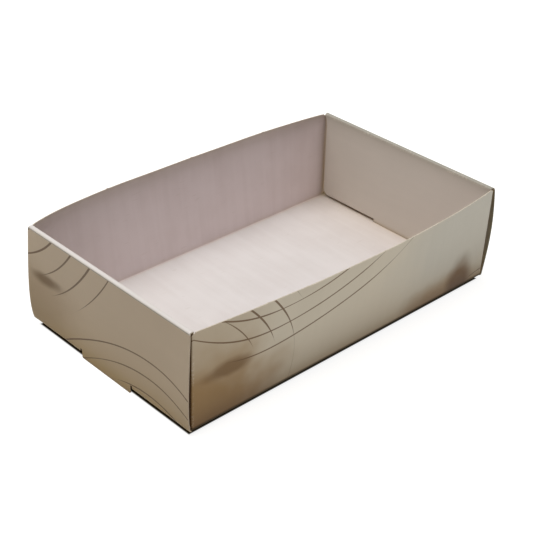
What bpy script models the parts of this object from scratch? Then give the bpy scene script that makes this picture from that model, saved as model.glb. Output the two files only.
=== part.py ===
"""Open tray of a cake box, folded from one creased sheet of card with roll-over ends.

Each panel between two creases is one solid, and every crease is a hinge along its outside corner.
Every panel is drawn in a frame of its own: X runs along the crease that it hangs on, Y goes from
its outside face into the card, and Z runs across it, away from that crease.
Lengths are in metres. The tray rests on Z = 0 and is centred on the Z axis.
"""

from math import asin, cos, radians, sin, sqrt, tan

import bmesh
import bpy
from mathutils import Matrix, Vector

# The tray
TRAY_LENGTH = 0.240
TRAY_WIDTH = 0.140
TRAY_HEIGHT = 0.062
CARD_THICKNESS = 0.0006
CREASE_GAP = 0.0003

# The long walls, whose rims bow outwards
RIM_BOW = 0.0084
BOW_POWER = 2.6
WALL_TOP_CLEARANCE = 0.0003
WALL_STEP_CLEARANCE = 0.0005
WALL_STEP_LENGTH = 0.0003
WALL_COLUMNS = 24
WALL_ROWS = 4

# The roll-over ends, and the pocket between their two plies
POCKET_GAP = 0.0007
INNER_SIDE_CLEARANCE = 0.0022
INNER_FLOOR_CLEARANCE = 0.0022
INNER_CORNER_RADIUS = 0.004
TONGUE_WIDTH = 0.0434
TONGUE_FLOOR_CLEARANCE = 0.0003
TONGUE_CORNER_RADIUS = 0.0008

# The foot that each end turns down out of the base a little off its middle, and the slot that it leaves
FOOT_WIDTH = 0.044
FOOT_SHIFT = 0.0022
FOOT_DEPTH = 0.0034
FOOT_CORNER_RADIUS = 0.0009
SLOT_CLEARANCE = 0.0003
SLOT_CORNER_RADIUS = 0.0006
NICK_WIDTH = 0.0016
NICK_HEIGHT = 0.0022

# The corner flaps, trapped in the pockets
FLAP_LENGTH = 0.024
FLAP_TOP_DROP = 0.0187
FLAP_FLOOR_CLEARANCE = 0.0008
FLAP_TAPER = radians(45)
FLAP_TOP_TAPER = radians(3)
FLAP_CORNER_RADIUS = 0.004

CORNER_STEPS = 4
MATCH_TOLERANCE = 1e-6

# What follows from the sizes above
CREASE_SETBACK = CREASE_GAP / sqrt(2)
RIM_WIDTH = 3 * CARD_THICKNESS + 2 * POCKET_GAP
WALL_RISE = TRAY_HEIGHT - WALL_TOP_CLEARANCE
WALL_END_RISE = WALL_RISE - CARD_THICKNESS
WALL_HALF_LENGTH = TRAY_LENGTH / 2 - CARD_THICKNESS - POCKET_GAP
WALL_FULL_HALF_LENGTH = TRAY_LENGTH / 2 - RIM_WIDTH - WALL_STEP_CLEARANCE
WALL_LEAN = asin(RIM_BOW / WALL_RISE)

OUTSIDE = (0.600, 0.525, 0.415)
ROLLED = (0.680, 0.620, 0.545)
FLOOR = (0.760, 0.715, 0.680)
HIDDEN = (0.700, 0.650, 0.600)
PRINTED_ROUGHNESS = 0.5
BARE_ROUGHNESS = 0.85


def clear_scene():
    for thing in list(bpy.data.objects):
        bpy.data.objects.remove(thing, do_unlink=True)


def card_material(name, colour, roughness):
    """Card of one colour and roughness: it isn't metal."""
    material = bpy.data.materials.new(name)
    material.use_nodes = True
    shader = material.node_tree.nodes["Principled BSDF"]
    shader.inputs["Base Color"].default_value = (*colour, 1)
    shader.inputs["Roughness"].default_value = roughness
    shader.inputs["Metallic"].default_value = 0
    return material


def finish(mesh_data, name, colour, roughness):
    """Closes a mesh up as an object with faces pointing out and a material of its own."""
    bmesh.ops.recalc_face_normals(mesh_data, faces=mesh_data.faces)
    mesh = bpy.data.meshes.new(name)
    mesh_data.to_mesh(mesh)
    mesh_data.free()
    mesh.materials.append(card_material(name + "_card", colour, roughness))
    panel = bpy.data.objects.new(name, mesh)
    bpy.context.scene.collection.objects.link(panel)
    return panel


def place(panel, parent, corner, along, inward):
    """Hangs a panel on its crease: the crease runs along one direction, and the card lies inward."""
    across = Vector(along).cross(Vector(inward))
    turn = Matrix((along, inward, across)).transposed()
    panel.parent = parent
    panel.location = corner
    panel.rotation_euler = turn.to_euler()
    return panel


def thicken(mesh_data, offset, creases):
    """Extrudes the outside face by the card's thickness, and mitres the new face at each crease.

    offset gives the step into the card at a point. A crease is (axis, place, direction): the points
    of the inside face that lie on it move one thickness along that axis, which makes 45 degrees.
    """
    made = bmesh.ops.extrude_face_region(mesh_data, geom=list(mesh_data.faces))
    inside = [item for item in made["geom"] if isinstance(item, bmesh.types.BMVert)]
    for point in inside:
        on_face = point.co.copy()
        step = offset(on_face)
        for axis, crease_at, direction in creases:
            if abs(on_face[axis] - crease_at) < MATCH_TOLERANCE:
                step[axis] = direction * CARD_THICKNESS
        point.co = on_face + step


def straight_in(_):
    return Vector((0, CARD_THICKNESS, 0))


def flat_panel(name, outline, creases, colour, roughness):
    """A flat panel from its outline, as (along, across, corner radius) points in order."""
    mesh_data = bmesh.new()
    corners = [mesh_data.verts.new((along, 0, across)) for along, across, _ in outline]
    mesh_data.faces.new(corners)
    radii = sorted({radius for _, _, radius in outline if radius > 0})
    by_radius = [[c for c, p in zip(corners, outline) if p[2] == radius] for radius in radii]
    for radius, group in zip(radii, by_radius):
        bmesh.ops.bevel(
            mesh_data, geom=group, offset=radius, offset_type="OFFSET",
            segments=CORNER_STEPS, profile=0.5, affect="VERTICES",
        )
    thicken(mesh_data, straight_in, creases)
    return finish(mesh_data, name, colour, roughness)


def mirrored(half):
    """A whole outline from the half on the positive side, which is listed from bottom to top."""
    return half + [(-along, across, radius) for along, across, radius in reversed(half)]


def turned(half):
    """A whole outline from one half and the same half turned half a circle round the middle."""
    return half + [(-along, -across, radius) for along, across, radius in half]


def off_middle(outline, reach):
    """An outline with the points that are within reach of its middle moved by the foot's shift."""
    moved = {True: FOOT_SHIFT, False: 0}
    return [(along - moved[abs(along) < reach], across, radius) for along, across, radius in outline]


def base_panel():
    """The floor of the tray, notched at both ends where the feet are turned down."""
    end = TRAY_LENGTH / 2 - CREASE_SETBACK
    side = TRAY_WIDTH / 2 - CREASE_SETBACK
    slot_end = TRAY_LENGTH / 2 - FOOT_DEPTH - SLOT_CLEARANCE
    slot_side = FOOT_WIDTH / 2 + SLOT_CLEARANCE
    half = [
        (end, -side, 0),
        (end, FOOT_SHIFT - slot_side, 0),
        (slot_end, FOOT_SHIFT - slot_side, SLOT_CORNER_RADIUS),
        (slot_end, FOOT_SHIFT + slot_side, SLOT_CORNER_RADIUS),
        (end, FOOT_SHIFT + slot_side, 0),
        (end, side, 0),
    ]
    creases = [(0, end, -1), (0, -end, 1), (2, side, -1), (2, -side, 1)]
    panel = flat_panel("base_panel", turned(half), creases, FLOOR, BARE_ROUGHNESS)
    return place(panel, None, (0, 0, FOOT_DEPTH), (1, 0, 0), (0, 0, 1))


def lean_at(along):
    """How far a wall leans out there: nothing at its ends, and most in the middle."""
    share = abs(along) / WALL_HALF_LENGTH
    return WALL_LEAN * (1 - share**BOW_POWER)


def lean_slope(along):
    """Change of that lean for each metre along the wall."""
    share = abs(along) / WALL_HALF_LENGTH
    steepness = BOW_POWER * WALL_LEAN * share ** (BOW_POWER - 1) / WALL_HALF_LENGTH
    return -steepness if along > 0 else steepness


def wall_columns():
    """Places along a wall of its upright lines, with one on each side of the step at either end."""
    step_end = WALL_FULL_HALF_LENGTH + WALL_STEP_LENGTH
    ends = [step_end, WALL_HALF_LENGTH - CREASE_SETBACK]
    shares = [2 * column / WALL_COLUMNS - 1 for column in range(WALL_COLUMNS + 1)]
    between = [share * WALL_FULL_HALF_LENGTH for share in shares]
    return [-end for end in reversed(ends)] + between + ends


def rise_at(along):
    """Height of the wall there: its ends are lower, because the rolled strips pass over them."""
    whole = abs(along) < WALL_FULL_HALF_LENGTH + MATCH_TOLERANCE
    return WALL_RISE if whole else WALL_END_RISE


def wall_offset(climb):
    """The step into the card of a wall point, square to the leaning face."""

    def offset(point):
        lean = lean_at(point.x)
        outwards = climb[point.copy().freeze()] * lean_slope(point.x)
        return CARD_THICKNESS * Vector((outwards, cos(lean), sin(lean))).normalized()

    return offset


def side_wall(name):
    """A long wall: each upright line of it is straight and turns out about the crease at its foot."""
    mesh_data = bmesh.new()
    columns = wall_columns()
    last = len(columns) - 1
    bmesh.ops.create_grid(mesh_data, x_segments=last, y_segments=WALL_ROWS, size=1)
    climb = {}
    for point in mesh_data.verts:
        along = columns[round((point.co.x + 1) / 2 * last)]
        risen_share = (point.co.y + 1) / 2
        up = CREASE_SETBACK + risen_share * (rise_at(along) - CREASE_SETBACK)
        lean = 0 if risen_share == 0 else lean_at(along)
        point.co = Vector((along, -up * sin(lean), up * cos(lean)))
        climb[point.co.copy().freeze()] = up
    creases = [(0, columns[-1], -1), (0, columns[0], 1), (2, CREASE_SETBACK, 1)]
    thicken(mesh_data, wall_offset(climb), creases)
    return finish(mesh_data, name, OUTSIDE, PRINTED_ROUGHNESS)


def corner_flap(name, wall, side):
    """A flap on a wall's end, cut away below and above so that it clears the end as that unrolls."""
    bottom = CARD_THICKNESS + FLAP_FLOOR_CLEARANCE
    top = TRAY_HEIGHT - FLAP_TOP_DROP
    far_bottom = bottom + FLAP_LENGTH * tan(FLAP_TAPER)
    far_top = top - FLAP_LENGTH * tan(FLAP_TOP_TAPER)
    outline = [
        (side * bottom, CREASE_SETBACK, 0),
        (side * far_bottom, FLAP_LENGTH, FLAP_CORNER_RADIUS),
        (side * far_top, FLAP_LENGTH, FLAP_CORNER_RADIUS),
        (side * top, CREASE_SETBACK, 0),
    ]
    creases = [(2, CREASE_SETBACK, 1)]
    flap = flat_panel(name, outline, creases, HIDDEN, BARE_ROUGHNESS)
    corner = (-side * WALL_HALF_LENGTH, 0, 0)
    return place(flap, wall, corner, (0, 0, side), (side, 0, 0))


def outer_end(name, corner, along, inward):
    """The outer ply of an end. Its foot stays on it between two round-topped nicks."""
    side = TRAY_WIDTH / 2
    foot_side = FOOT_WIDTH / 2
    nick_side = foot_side + NICK_WIDTH
    top = TRAY_HEIGHT - CREASE_SETBACK
    half = [
        (foot_side, -FOOT_DEPTH, FOOT_CORNER_RADIUS),
        (foot_side, NICK_HEIGHT, NICK_WIDTH / 3),
        (nick_side, NICK_HEIGHT, NICK_WIDTH / 3),
        (nick_side, CREASE_SETBACK, 0),
        (side, CREASE_SETBACK, 0),
        (side, top, 0),
    ]
    outline = off_middle(mirrored(half), nick_side + MATCH_TOLERANCE)
    creases = [(2, CREASE_SETBACK, 1), (2, top, -1)]
    panel = flat_panel(name, outline, creases, OUTSIDE, PRINTED_ROUGHNESS)
    return place(panel, None, corner, along, inward)


def rim_strip(name, outer):
    """The narrow strip between the two creases that an end is rolled over."""
    side = TRAY_WIDTH / 2
    far = RIM_WIDTH - CREASE_SETBACK
    half = [(side, CREASE_SETBACK, 0), (side, far, 0)]
    creases = [(2, CREASE_SETBACK, 1), (2, far, -1)]
    strip = flat_panel(name, mirrored(half), creases, ROLLED, PRINTED_ROUGHNESS)
    return place(strip, outer, (0, 0, TRAY_HEIGHT), (1, 0, 0), (0, 0, -1))


def inner_end(name, rim):
    """The inner ply of an end, whose tongue stands over the slot behind the foot."""
    side = TRAY_WIDTH / 2 - CARD_THICKNESS - INNER_SIDE_CLEARANCE
    tongue_side = TONGUE_WIDTH / 2
    floor = TRAY_HEIGHT - CARD_THICKNESS
    edge = floor - INNER_FLOOR_CLEARANCE
    half = [
        (side, CREASE_SETBACK, 0),
        (side, edge, INNER_CORNER_RADIUS),
        (tongue_side, edge, 0),
        (tongue_side, floor - TONGUE_FLOOR_CLEARANCE, TONGUE_CORNER_RADIUS),
    ]
    outline = off_middle(mirrored(half), tongue_side + MATCH_TOLERANCE)
    creases = [(2, CREASE_SETBACK, 1)]
    panel = flat_panel(name, outline, creases, ROLLED, PRINTED_ROUGHNESS)
    return place(panel, rim, (0, 0, RIM_WIDTH), (1, 0, 0), (0, 0, -1))


def long_side(name, outward):
    """A wall and its two flaps, on the side of the tray that outward (-1 or 1) points to."""
    wall = side_wall(name + "_wall")
    foot_of_wall = (0, outward * TRAY_WIDTH / 2, FOOT_DEPTH)
    place(wall, None, foot_of_wall, (-outward, 0, 0), (0, -outward, 0))
    hands = ("left", "right") if outward < 0 else ("right", "left")
    for hand, side in zip(hands, (1, -1)):
        corner_flap(f"{name}_{hand}_flap", wall, side)


def roll_over_end(name, outward):
    """The three panels of an end, on the side of the tray that outward (-1 or 1) points to."""
    corner = (outward * TRAY_LENGTH / 2, 0, FOOT_DEPTH)
    outer = outer_end(name + "_end_outer", corner, (0, outward, 0), (-outward, 0, 0))
    rim = rim_strip(name + "_rim", outer)
    inner_end(name + "_end_inner", rim)


def build():
    clear_scene()
    base_panel()
    long_side("front", -1)
    long_side("back", 1)
    roll_over_end("left", -1)
    roll_over_end("right", 1)


build()
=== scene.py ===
# %% [markdown]
# # A cake box tray, folded from one sheet of printed card
#
# The real tray is one die-cut sheet. Every flat panel of it is a rigid body in the imported model,
# and every crease between two panels is a hinge. This lesson dresses that model: each panel
# becomes a thin closed sheet with the slight curves that real card has, and each crease becomes a
# strip of bent card between its two panels. The imported model comes first, because everything
# is measured from it.

# %% Load the imported model
from math import radians

import bpy
import numpy as np
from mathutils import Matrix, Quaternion, Vector


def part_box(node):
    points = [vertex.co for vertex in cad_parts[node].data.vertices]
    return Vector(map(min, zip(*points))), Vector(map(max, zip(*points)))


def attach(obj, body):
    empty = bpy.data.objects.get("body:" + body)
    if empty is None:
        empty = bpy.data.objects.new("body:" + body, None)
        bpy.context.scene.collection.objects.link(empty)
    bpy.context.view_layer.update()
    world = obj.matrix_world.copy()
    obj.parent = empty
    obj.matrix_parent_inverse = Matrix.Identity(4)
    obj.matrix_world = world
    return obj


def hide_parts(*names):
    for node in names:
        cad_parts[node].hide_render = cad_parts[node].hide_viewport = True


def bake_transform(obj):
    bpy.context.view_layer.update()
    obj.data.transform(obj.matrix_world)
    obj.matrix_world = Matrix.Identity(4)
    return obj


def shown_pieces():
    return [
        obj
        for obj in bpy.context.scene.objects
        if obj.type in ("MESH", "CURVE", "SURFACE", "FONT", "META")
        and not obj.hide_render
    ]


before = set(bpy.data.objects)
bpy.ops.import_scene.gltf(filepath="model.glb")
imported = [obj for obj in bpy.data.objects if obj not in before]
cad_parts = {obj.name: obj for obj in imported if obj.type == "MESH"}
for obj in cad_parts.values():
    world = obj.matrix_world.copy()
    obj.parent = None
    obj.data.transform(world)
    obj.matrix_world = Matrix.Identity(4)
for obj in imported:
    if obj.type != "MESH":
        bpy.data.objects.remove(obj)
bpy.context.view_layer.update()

# %% [markdown]
# ## The tray's own sizes
#
# Lengths are in metres, and MM turns millimetres into them. They are the sizes of the packed
# solids, so that each sheet lies where its solid is. Only the tongues go further: the solid ones
# stop just above their slots, and these reach down into them. Heights called "up" are measured
# from the base's underside, which its two feet hold a little above the table.

# %% Sizes of the tray
MM = 0.001
CARD = 0.6 * MM
FOOT = 3.4 * MM
HALF_LENGTH, HALF_WIDTH, HEIGHT = 120 * MM, 70 * MM, 62 * MM
RIM = 3.2 * MM
WALL_END = 118.7 * MM
WALL_RISE, WALL_END_RISE, STEP_AT = 61.7 * MM, 61.1 * MM, 116.4 * MM
FOOT_SIDE, NICK_SIDE, NICK_UP, OFF_MIDDLE = 22 * MM, 23.6 * MM, 2.2 * MM, 2.2 * MM
INNER_SIDE, INNER_DROP, TONGUE_SIDE, TONGUE_DROP = 67.2 * MM, 59.2 * MM, 22.0 * MM, 61.9 * MM
SLOT_SIDE, SLOT_AT = 22.3 * MM, 116.4 * MM

base_low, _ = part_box("base_panel")
print("base underside in the model:", round(base_low.z / MM, 2), "mm, card", CARD / MM, "mm")

# %% [markdown]
# ## Grids of points
#
# A sheet of card is a function of two numbers: how far along a crease, and how far across the
# panel from it. A grid needs lines exactly where something happens, such as the side of a nick,
# and even ones in between. So the maker lists only the stops, and the helper fills the gaps.

# %% Lines of a grid
def lines(stops, step=4 * MM):
    """Places of grid lines: one at every stop, and even ones about a step apart in between."""
    stops = np.unique(np.round(stops, 7))
    counts = np.maximum(1, np.round(np.diff(stops) / step)).astype(int)
    spans = [np.linspace(*ends, n, endpoint=False) for *ends, n in zip(stops, stops[1:], counts)]
    return np.append(np.concatenate(spans), stops[-1])


def both_sides(*places):
    """The same places on both sides of the middle."""
    return [sign * place for place in places for sign in (-1, 1)]


def by_edges(low, high, *near):
    """Both ends of a span, and places that lie each distance in near from either end."""
    return [low, high, *(low + n for n in near), *(high - n for n in near)]


def line_at(x, y, z, like):
    """A line of points from three parts, each a number or an array like the last one given."""
    return np.stack([x + 0 * like, y + 0 * like, z + 0 * like], -1)


print("lines of a 10 mm span:", (lines([0, 10 * MM]) / MM).tolist())

# %% [markdown]
# ## A tray that stands askew
#
# A folded tray is never quite square: each corner of its rim has moved by up to a millimetre. One
# function gives every point its share of those four shifts. It is nothing at the base and grows
# evenly with height, so all the sheets lean together and stay joined.

# %% Lean of the whole tray
TOP_SHIFTS = {
    (-1, -1): (0.25, 0.0), (-1, 1): (-0.3, 0.6),
    (1, -1): (0.7, -1.0), (1, 1): (-0.2, 0.6),
}


def askew(points):
    """Points moved by height / 62 mm times the four corners' shifts, each weighted by how close
    its corner is: the product of the shares of the way to it along and across the tray."""
    share_x, share_y = points[..., 0] / HALF_LENGTH, points[..., 1] / HALF_WIDTH
    height = (points[..., 2] - FOOT) / HEIGHT
    moved = np.array(points)
    for (end, side), (x, y) in TOP_SHIFTS.items():
        weight = height * (1 + end * share_x) * (1 + side * share_y) / 4
        moved = moved + weight[..., None] * np.array([x, y, 0.0]) * MM
    return moved


print("top corners move by, mm:", TOP_SHIFTS)

# %% [markdown]
# ## A closed sheet from two faces
#
# Card has three surfaces that look different: its printed face, its bare face and the cut edge
# that shows its fibres. Solidify could thicken a face, but it would not bring in the bevelled
# ends of a crease or leave cells out. So both faces are worked out as grids, and every edge that
# only one cell uses, along the outline of the kept cells, gets a wall of cut card. Each point
# also carries the kind of panel it lies on, by which the materials tell the panels apart.

# %% Make a closed sheet
PRINTED, BARE, CUT = 0, 1, 2
PLAIN_KIND, WALL_KIND, END_KIND, INNER_KIND = 0.0, 1.0, 2.0, 3.0
# The left rim's kind paints a highlight on it, and the right rim's kind paints shade on it.
RIM_KIND = {-1: 4.0, 1: 2.5}
SHARP_ANGLE = 40


def kept_faces(shape, keep, flip):
    """Faces of a closed sheet: cells of the outside, the same cells turned round for the inside,
    and a wall on each edge that belongs to one cell alone. flip turns the outside cells round."""
    number = np.arange(shape[0] * shape[1]).reshape(shape)
    cells = np.stack([number[:-1, :-1], number[1:, :-1], number[1:, 1:], number[:-1, 1:]], -1)
    cells = cells[keep] if keep is not None else cells.reshape(-1, 4)
    cells = cells[:, ::-1] if flip else cells
    edges = np.stack([cells, np.roll(cells, -1, axis=1)], -1).reshape(-1, 2)
    _, which, uses = np.unique(np.sort(edges, 1), axis=0, return_inverse=True, return_counts=True)
    border = edges[uses[which.ravel()] == 1]
    other = number.size
    walls = np.stack([border[:, 1], border[:, 0], border[:, 0] + other, border[:, 1] + other], -1)
    faces = np.concatenate([cells, cells[:, ::-1] + other, walls])
    slots = np.repeat([PRINTED, BARE, CUT], [len(cells), len(cells), len(walls)])
    return faces, slots


def closed_sheet(name, outside, inside, blank, printed, wear, keep=None):
    """A closed mesh from the grids of its two faces. blank is where each point was on the flat
    sheet, printed is (along, up, kind) of the printed face, and wear is the distance to a fold or
    a cut edge. They go into the mesh as attributes, so that materials follow the card."""
    outside, inside = askew(outside), askew(inside)
    across = outside[1:, :-1] - outside[:-1, :-1]
    along = outside[:-1, 1:] - outside[:-1, :-1]
    outward = (outside - inside)[:-1, :-1]
    flip = bool((np.cross(across, along) * outward).sum() < 0)
    faces, slots = kept_faces(outside.shape[:2], keep, flip)
    used, faces = np.unique(faces, return_inverse=True)
    points = np.concatenate([outside.reshape(-1, 3), inside.reshape(-1, 3)])[used]
    mesh = bpy.data.meshes.new(name)
    mesh.from_pydata(points.tolist(), [], faces.reshape(-1, 4).tolist())
    mesh.polygons.foreach_set("material_index", slots.astype(np.int32))
    for label, values in (("blank", blank), ("printed", printed)):
        values = np.stack(np.broadcast_arrays(*values), -1)
        values = np.broadcast_to(values, outside.shape)
        values = np.tile(values.reshape(-1, 3), (2, 1))[used]
        layer = mesh.attributes.new(label, "FLOAT_VECTOR", "POINT")
        layer.data.foreach_set("vector", values.astype(np.float32).ravel())
    worn = np.tile(np.broadcast_to(wear, outside.shape[:2]).ravel(), 2)[used]
    layer = mesh.attributes.new("wear_distance", "FLOAT", "POINT")
    layer.data.foreach_set("value", worn.astype(np.float32))
    mesh.shade_smooth()
    mesh.set_sharp_from_angle(angle=radians(SHARP_ANGLE))
    sheet = bpy.data.objects.new(name, mesh)
    bpy.context.scene.collection.objects.link(sheet)
    return sheet


# %% [markdown]
# ## Panels
#
# A panel is given by one function for its outside face. Its inside face lies one card thickness
# along the normal, and the normal comes from the slopes of that same function, so a panel that
# bows keeps its thickness everywhere. Corners are rounded by sliding points, as on a cutting die.

# %% Make a panel
SLOPE_STEP = 0.01 * MM
ROUND_STOPS = np.array([1, 0.75, 0.5, 0.25, 0])
JUST_OVER_ONE = 1.001


def with_normals(surface, a, b, hand):
    """Points of a surface, and the unit normals into the card: the cross product of the surface's
    two slopes there, times hand."""
    slope_a = surface(a + SLOPE_STEP, b) - surface(a - SLOPE_STEP, b)
    slope_b = surface(a, b + SLOPE_STEP) - surface(a, b - SLOPE_STEP)
    normal = hand * np.cross(slope_a, slope_b)
    return surface(a, b), normal / np.linalg.norm(normal, axis=-1, keepdims=True)


def rounded(a, b, corner, turn, radius):
    """Slides the points of a corner's square so that its two outer sides become a quarter circle:
    each share is multiplied by the square root of one less half the other share squared."""
    p = (a - corner[0]) * turn[0] / radius + 1
    q = (b - corner[1]) * turn[1] / radius + 1
    inside = (np.minimum(p, q) > 0) & (np.maximum(p, q) < JUST_OVER_ONE)
    p_round = p * np.sqrt(np.clip(1 - q * q / 2, 0, 1))
    q_round = q * np.sqrt(np.clip(1 - p * p / 2, 0, 1))
    a_new = np.where(inside, corner[0] + turn[0] * radius * (p_round - 1), a)
    b_new = np.where(inside, corner[1] + turn[1] * radius * (q_round - 1), b)
    return a_new, b_new


def card_panel(name, surface, hand, a_lines, b_lines, blank, printed, left_out=None, shape=None):
    """A panel over a grid of lines. left_out(a, b) is true at the middle of a cell that is cut
    away, and shape(a, b) slides the grid's points to their outline before they are placed."""
    a, b = np.meshgrid(a_lines, b_lines, indexing="ij")
    keep = None
    if left_out:
        keep = ~left_out((a[1:, 1:] + a[:-1, :-1]) / 2, (b[1:, 1:] + b[:-1, :-1]) / 2)
    wear = np.minimum.reduce([a - a.min(), a.max() - a, b - b.min(), b.max() - b])
    if shape:
        a, b = shape(a, b)
    outside, normal = with_normals(surface, a, b, hand)
    inside = outside + CARD * normal
    return closed_sheet(name, outside, inside, blank(a, b), printed(a, b), wear, keep)


# %% [markdown]
# ## Creases
#
# Scored card bends in a narrow strip: round outside, with a small bead inside. Both faces of the
# strip are quadratic curves from one panel's edge to the other's.

# %% Make a crease
CREASE_ROWS = 11


def curve(first, control, last):
    """Quadratic curve: (1-s)(1-s) first + 2s(1-s) control + s*s last, for shares s of its way."""
    s = np.linspace(0, 1, CREASE_ROWS)[:, None, None]
    return (1 - s) ** 2 * first + 2 * s * (1 - s) * control + s**2 * last


def crease(name, first, last, corner, blanks, prints, keep=None):
    """The bent card between two panels. first and last are (edge points, normals into the card),
    and corner is the line on which their outside faces would meet."""
    (edge_a, normal_a), (edge_b, normal_b) = first, last
    facing = (normal_a * normal_b).sum(-1, keepdims=True)
    inner_corner = corner + CARD * (normal_a + normal_b) / (1 + facing)
    outside = curve(edge_a, corner, edge_b)
    inside = curve(edge_a + CARD * normal_a, inner_corner, edge_b + CARD * normal_b)
    share = np.linspace(0, 1, CREASE_ROWS)[:, None]
    blank, printed = (
        [u + (v - u) * share for u, v in zip(*ends)] for ends in (blanks, prints)
    )
    if keep is not None:
        keep = np.broadcast_to(keep, (CREASE_ROWS - 1, outside.shape[1] - 1))
    strip = closed_sheet(name, outside, inside, blank, printed, 0.0, keep)
    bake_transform(strip)
    return strip


# %% [markdown]
# ## Where the faces lie
#
# These functions are the whole shape of the tray. The long walls are straight up and down, but
# each upright line leans out a little, most of all in the middle, because the card springs back.
# The outer plies stand out at their free edges, where the flaps behind push them. The base sags
# a little between its creases. Every curve dies away at the creases, which stay straight.

# %% Shape of the base
BASE_FOLD = 1.2 * MM
BASE_SAG = 0.5 * MM


def base_face(x, y):
    """Underside of the base: it sags as the square of one less the squared share of each way."""
    window = ((1 - (x / HALF_LENGTH) ** 2) * (1 - (y / HALF_WIDTH) ** 2)) ** 2
    return np.stack([x, y, FOOT - BASE_SAG * window], -1)


# %% Shape of the long walls
BOWS = {-1: (7.0 * MM, 2.1, 0.18), 1: (8.5 * MM, 3.5, -0.28)}
RIPPLE, RIPPLE_LENGTH = 0.12 * MM, 57 * MM


def wall_face(side):
    """Outside of the wall at the front (-1) or back (1). Its lean is the bow's angle times one
    less a power of the share of the way to its end, and it is skewed towards one end."""
    bow, power, skew = BOWS[side]

    def face(x, up):
        share = x / WALL_END
        window = 1 - np.abs(share) ** power
        lean = np.arcsin(bow / WALL_RISE) * window * (1 + skew * share)
        ripple = RIPPLE * np.sin(2 * np.pi * x / RIPPLE_LENGTH + side) * window * up / WALL_RISE
        out = up * np.sin(lean) + ripple
        return np.stack([x, side * (HALF_WIDTH + out), FOOT + up * np.cos(lean)], -1)

    return face


# %% Shape of the rolled ends
BULGE_STARTS = 40 * MM
BULGES = {
    (-1, -1): (1.3 * MM, 0.6), (-1, 1): (2.8 * MM, 0.6),
    (1, -1): (3.2 * MM, 1.0), (1, 1): (1.0 * MM, 0.6),
}
RIM_CROWN = 0.25 * MM
INNER_BOW = 0.6 * MM


def outer_face(end):
    """Outside of an outer ply. Past 40 mm from the middle it stands out with the square of the
    distance, and up the ply with the sine of a power of the height's share. A power below one
    puts the most of it below the middle."""

    def face(y, up):
        reach = np.clip((np.abs(y) - BULGE_STARTS) / (HALF_WIDTH - BULGE_STARTS), 0, None) ** 2
        most, power = (np.where(y < 0, *pair) for pair in zip(BULGES[end, -1], BULGES[end, 1]))
        share = np.clip(up / HEIGHT, 0, 1) ** power
        out = HALF_LENGTH + most * reach * np.sin(np.pi * share)
        return np.stack([end * out, y, FOOT + up], -1)

    return face


def rim_face(end):
    """Top of the rolled rim, q from its outer crease, with a crown of a sine squared."""

    def face(y, q):
        crown = RIM_CROWN * np.sin(np.pi * np.clip(q / RIM, 0, 1)) ** 2
        return np.stack([end * (HALF_LENGTH - q), y, FOOT + HEIGHT + crown], -1)

    return face


def inner_face(end):
    """The face of the inner ply that looks into the tray. It bows in as a product of windows."""

    def face(y, down):
        share = np.clip(down / INNER_DROP, 0, 1)
        window = np.sin(np.pi * share) ** 2 * (1 - (y / HALF_WIDTH) ** 2)
        x = HALF_LENGTH - RIM - INNER_BOW * window
        return np.stack([end * x, y, FOOT + HEIGHT - down], -1)

    return face


print("wall bows, mm:", [round(bow / MM, 1) for bow, _, _ in BOWS.values()])

# %% [markdown]
# ## The base
#
# The base is a rectangle that ends just before its four creases. At both ends a shallow slot is
# cut where the foot of the outer ply is turned down.

# %% Build the base
NEAR = (0.4 * MM, 1.2 * MM, 2.4 * MM)
base_end, base_side = HALF_LENGTH - BASE_FOLD, HALF_WIDTH - BASE_FOLD
slot_sides = both_sides(SLOT_SIDE + OFF_MIDDLE, SLOT_SIDE - OFF_MIDDLE)


def in_slot(x, y):
    """Whether a place lies in one of the two slots, which stand off the middle to either side."""
    return (np.abs(x) > SLOT_AT) & (np.abs(y + np.sign(x) * OFF_MIDDLE) < SLOT_SIDE)


base = card_panel(
    "base_card", base_face, 1,
    lines([*by_edges(-base_end, base_end, *NEAR), *both_sides(SLOT_AT)]),
    lines([*by_edges(-base_side, base_side, *NEAR), *slot_sides]),
    blank=lambda x, y: (x, y, 0.0), printed=lambda x, y: (0.0, 0.0, PLAIN_KIND),
    left_out=in_slot,
)
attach(base, "base")
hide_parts("base_panel")
print("base:", len(base.data.polygons), "faces")

# %% [markdown]
# ## The long walls, their creases and their flaps
#
# A wall's cut rim shows the small nicks that held it to its neighbour on the press sheet, so a
# few columns of the grid rise a third of a millimetre there. At both ends the wall is a little
# lower, because the rolled strip passes over it, and it turns round an upright fold into its
# flap. The flap is cut at 45 degrees below, and it is trapped between the two plies of the end.

# %% Stops and outline of a wall
FLAP_FOLD, FOLD_PAST = 1.0 * MM, 0.5 * MM
NICK_RISE, NICK_REACH, TOP_LINE = 0.35 * MM, 0.6 * MM, WALL_RISE - 0.01 * MM
NICK_STOPS, CORNER_STOPS = (-2, -1, -0.5, 0, 0.5, 1, 2), np.array([1, 0.7, 0.5, 0.35])
RIM_NICKS = {-1: (-71 * MM, -44 * MM, 14.7 * MM, 61 * MM), 1: (-58 * MM, 7 * MM, 66 * MM)}
CORNER_REACH, CORNER_DROPS = 4.5 * MM, {-1: 0.1 * MM, 1: 1.4 * MM}
wall_side = WALL_END - FLAP_FOLD


def corner_drop(x, side):
    """How far a wall's top is rounded down: a quarter circle over its last 4.5 mm, made shallow."""
    share = np.clip((np.abs(x) - WALL_END + CORNER_REACH) / CORNER_REACH, 0, 1)
    return CORNER_DROPS[side] * (1 - np.sqrt(1 - share**2))


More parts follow.
